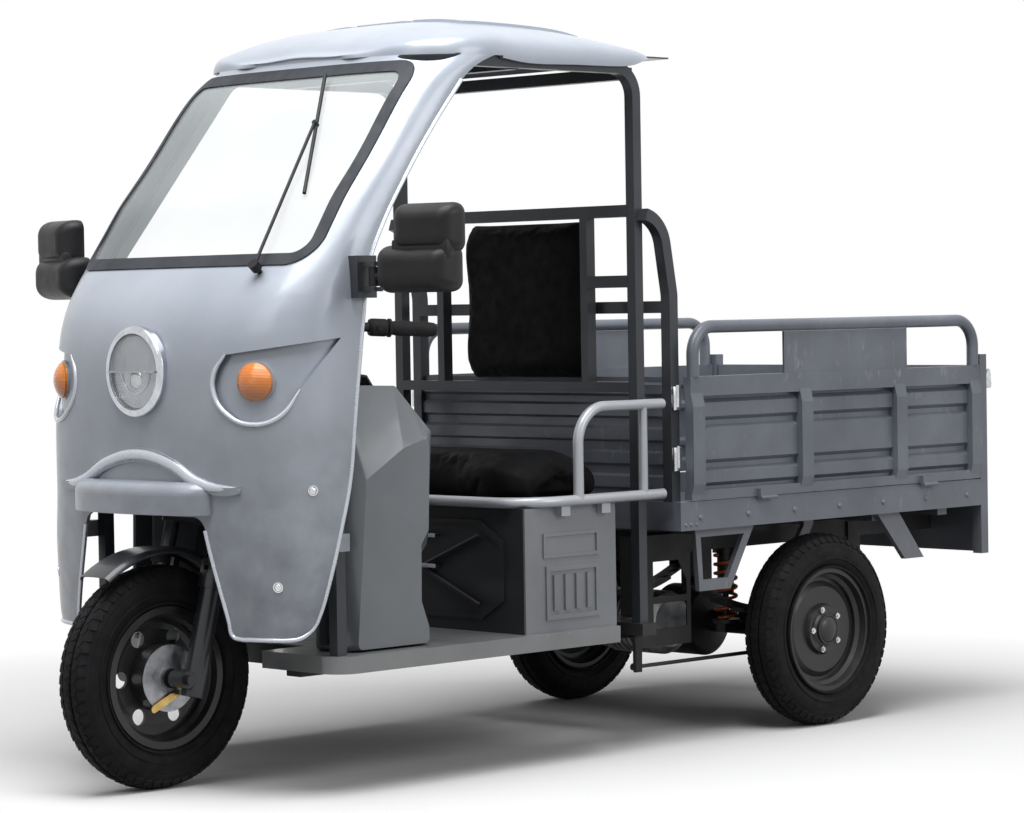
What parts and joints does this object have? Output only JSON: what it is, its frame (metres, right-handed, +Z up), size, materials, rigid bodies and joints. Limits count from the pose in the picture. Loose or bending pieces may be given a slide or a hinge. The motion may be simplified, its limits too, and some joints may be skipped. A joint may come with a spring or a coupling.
{
  "type": "cargo tricycle",
  "caption": "Motor cargo tricycle with a half-open cab, single sprung front wheel under a moulded fairing, and a drop-side load bed over a leaf-sprung rear axle.",
  "frame": {"origin": "on the ground under the middle of the whole vehicle's length and width", "axes": "+X forward, +Y to the driver's left, +Z up"},
  "size_m": [2.8003, 1.5212, 1.8135],
  "materials": {
    "silver_shell": "silver blue-grey metallic paint",
    "bed_grey": "dark grey enamel",
    "cab_grey": "dark grey enamel",
    "floor_grey": "grey enamel",
    "seat_grey": "grey enamel",
    "rail_grey": "light grey enamel",
    "chassis_black": "black enamel",
    "fork_black": "satin black",
    "steel": "bright",
    "lever_alloy": "black anodised",
    "motor_alloy": "as cast",
    "brass": "yellow plated",
    "wheel_black": "gloss black",
    "tyre": "matte",
    "spring_dark": "dark",
    "spring_orange": "orange enamel",
    "glass": "clear",
    "seal_rubber": "satin",
    "lamp_chrome": "bright",
    "amber_lens": "clear amber",
    "red_lens": "clear red",
    "black_plastic": "grained",
    "grip_rubber": "matte",
    "mirror": "bright",
    "black_vinyl": "grained vinyl",
    "board": "plain ply"
  },
  "bodies": {
    "chassis": {"chassis_frame": "chassis_black", "cab_frame": "cab_grey", "steering_head": "chassis_black", "floor_pan": "floor_grey", "front_fairing": "silver_shell", "roof_shell": "silver_shell", "windshield": "glass", "windshield_seal": "seal_rubber", "headlight_bowl": "lamp_chrome", "headlight_lens": "glass", "turn_signal_lenses": "amber_lens", "leg_shields": "silver_shell", "dash_panel": "black_plastic", "seat_box_front": "black_plastic", "seat_box_sides": "seat_grey", "battery_pack": "black_plastic", "motor_controller": "black_plastic", "seat_rail": "rail_grey", "backrest_pad": "black_vinyl", "rear_guard": "cab_grey", "bed_floor": "bed_grey", "bed_frame": "bed_grey", "bed_front_wall": "bed_grey", "tail_lamps": "red_lens", "leaf_springs": "spring_dark", "shock_springs": "spring_orange", "mirror_brackets": "black_plastic", "wiper_gearbox": "black_plastic"},
    "steering": {"steering_yoke": "steel", "handlebar": "fork_black", "bar_controls": "grip_rubber"},
    "fork_lower": {"fork_sliders": "fork_black", "front_fender": "fork_black", "front_brake_plate": "brass"},
    "brake_arm": {"front_brake_arm": "brass"},
    "front_wheel": {"front_rim": "wheel_black", "front_tyre": "tyre"},
    "rear_axle": {"axle_housing": "chassis_black", "drive_motor": "motor_alloy"},
    "rear_wheel_left": {"rear_rim_left": "wheel_black", "rear_tyre_left": "tyre"},
    "rear_wheel_right": {"rear_rim_right": "wheel_black", "rear_tyre_right": "tyre"},
    "tail_board": {"tailgate": "bed_grey"},
    "side_board_left": {"side_panel_left": "bed_grey"},
    "side_board_right": {"side_panel_right": "bed_grey"},
    "latch_left": {"tail_latch_left": "black_plastic"},
    "latch_right": {"tail_latch_right": "black_plastic"},
    "wiper_arm": {"wiper": "black_plastic"},
    "mirror_left": {"mirror_housing_left": "black_plastic", "mirror_glass_left": "mirror"},
    "mirror_right": {"mirror_housing_right": "black_plastic", "mirror_glass_right": "mirror"},
    "seat": {"seat_board": "board", "seat_cushion": "black_vinyl"},
    "pedal": {"brake_pedal": "chassis_black"},
    "hand_lever": {"hand_brake_lever": "chassis_black"},
    "pull_rod": {"brake_rod": "steel"},
    "throttle": {"throttle_grip": "grip_rubber"},
    "bar_lever": {"front_brake_lever": "lever_alloy"}
  },
  "joints": [
    {"name": "steering_turn", "type": "hinge", "parent": "chassis", "child": "steering", "pos_m": [1.1, 0, 0.26], "axis": [-0.2588, 0, 0.9659], "range_deg": [-28, 28]},
    {"name": "fork_travel", "type": "slide", "parent": "steering", "child": "fork_lower", "axis": [-0.2588, 0, 0.9659], "range_m": [-0.02, 0.05], "stiffness_N_per_m": 20000, "springref_m": -0.045},
    {"name": "front_wheel_spin", "type": "hinge", "parent": "fork_lower", "child": "front_wheel", "pos_m": [1.14, 0, 0.26], "axis": [0, 1, 0], "continuous": true},
    {"name": "front_brake_arm_turn", "type": "hinge", "parent": "fork_lower", "child": "brake_arm", "pos_m": [1.158, 0.055, 0.208], "axis": [0, -1, 0], "range_deg": [0, 12]},
    {"name": "axle_travel", "type": "slide", "parent": "chassis", "child": "rear_axle", "axis": [0, 0, 1], "range_m": [-0.03, 0.03], "stiffness_N_per_m": 60000, "springref_m": -0.026, "deforming": ["leaf_springs", "shock_springs"]},
    {"name": "rear_wheel_left_spin", "type": "hinge", "parent": "rear_axle", "child": "rear_wheel_left", "pos_m": [-0.7, 0.45, 0.25], "axis": [0, 1, 0], "continuous": true},
    {"name": "rear_wheel_right_spin", "type": "hinge", "parent": "rear_axle", "child": "rear_wheel_right", "pos_m": [-0.7, -0.45, 0.25], "axis": [0, 1, 0], "continuous": true},
    {"name": "tailgate_drop", "type": "hinge", "parent": "chassis", "child": "tail_board", "pos_m": [-1.386, 0, 0.611], "axis": [0, -1, 0], "range_deg": [0, 170]},
    {"name": "side_left_drop", "type": "hinge", "parent": "chassis", "child": "side_board_left", "pos_m": [-0.75, 0.516, 0.611], "axis": [-1, 0, 0], "range_deg": [0, 170]},
    {"name": "side_right_drop", "type": "hinge", "parent": "chassis", "child": "side_board_right", "pos_m": [-0.75, -0.516, 0.611], "axis": [1, 0, 0], "range_deg": [0, 170]},
    {"name": "tail_latch_left_turn", "type": "hinge", "parent": "chassis", "child": "latch_left", "pos_m": [-1.3863, 0.485, 0.872], "axis": [-1, 0, 0], "range_deg": [0, 90]},
    {"name": "tail_latch_right_turn", "type": "hinge", "parent": "chassis", "child": "latch_right", "pos_m": [-1.3863, -0.485, 0.872], "axis": [1, 0, 0], "range_deg": [0, 90]},
    {"name": "wiper_sweep", "type": "hinge", "parent": "chassis", "child": "wiper_arm", "pos_m": [1.062, 0.312, 1.194], "axis": [0.7721, 0.1219, 0.6237], "range_deg": [-4, 75]},
    {"name": "mirror_left_fold", "type": "hinge", "parent": "chassis", "child": "mirror_left", "pos_m": [0.902, 0.52, 1.181], "axis": [0, 0, 1], "range_deg": [-30, 70]},
    {"name": "mirror_right_fold", "type": "hinge", "parent": "chassis", "child": "mirror_right", "pos_m": [0.902, -0.52, 1.181], "axis": [0, 0, -1], "range_deg": [-30, 70]},
    {"name": "seat_lift", "type": "hinge", "parent": "chassis", "child": "seat", "pos_m": [0.057, 0, 0.622], "axis": [0, -1, 0], "range_deg": [0, 70]},
    {"name": "brake_pedal_press", "type": "hinge", "parent": "chassis", "child": "pedal", "pos_m": [0.76, -0.15, 0.3365], "axis": [0, 1, 0], "range_deg": [0, 15], "stiffness_Nm_per_rad": 20, "springref_deg": -11.46},
    {"name": "hand_brake_pull", "type": "hinge", "parent": "chassis", "child": "hand_lever", "pos_m": [-0.105, 0.365, 0.291], "axis": [0, 1, 0], "range_deg": [0, 15]},
    {"name": "brake_rod_push", "type": "slide", "parent": "chassis", "child": "pull_rod", "axis": [-1, 0, 0], "range_m": [0, 0.024]},
    {"name": "throttle_twist", "type": "hinge", "parent": "steering", "child": "throttle", "pos_m": [0.67294, -0.30953, 1.06234], "axis": [-0.8931, -0.4466, -0.0539], "range_deg": [0, 70], "stiffness_Nm_per_rad": 0.3, "springref_deg": -17.19},
    {"name": "front_brake_squeeze", "type": "hinge", "parent": "steering", "child": "bar_lever", "pos_m": [0.71227, -0.33459, 1.06363], "axis": [0, 0, -1], "range_deg": [0, 12], "stiffness_Nm_per_rad": 3, "springref_deg": -5.73}
  ],
  "couplings": [
    {"joint": "brake_rod_push", "follows": "hand_brake_pull", "m_per_rad": 0.0915},
    {"joint": "front_brake_arm_turn", "follows": "front_brake_squeeze", "ratio": 1}
  ]
}
